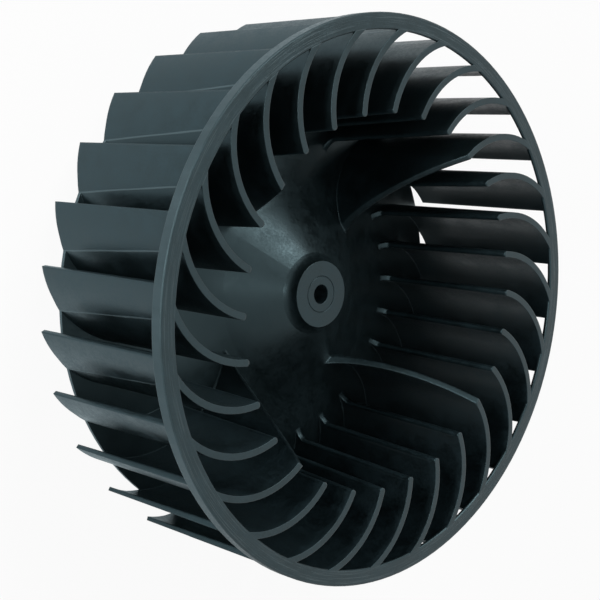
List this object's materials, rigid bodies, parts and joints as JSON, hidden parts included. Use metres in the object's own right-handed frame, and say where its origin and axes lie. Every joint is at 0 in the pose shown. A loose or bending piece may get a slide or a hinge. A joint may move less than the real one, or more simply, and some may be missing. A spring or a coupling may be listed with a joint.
{
  "type": "tumble dryer blower wheel",
  "caption": "Moulded squirrel-cage blower wheel with curved blades, an inlet ring and a conical back plate with a bored hub.",
  "frame": {"origin": "on the bore's axis in the back plane, where the rim of the back plate and the back ends of the blades stand", "axes": "+Z along the bore's axis from the back plate towards the inlet ring, +X through the inner edge of one of the long blades that carry a vane"},
  "size_m": [0.2, 0.2, 0.0675],
  "materials": {
    "moulded_plastic": "satin"
  },
  "bodies": {
    "root": {"blower_wheel": "moulded_plastic"}
  },
  "joints": []
}
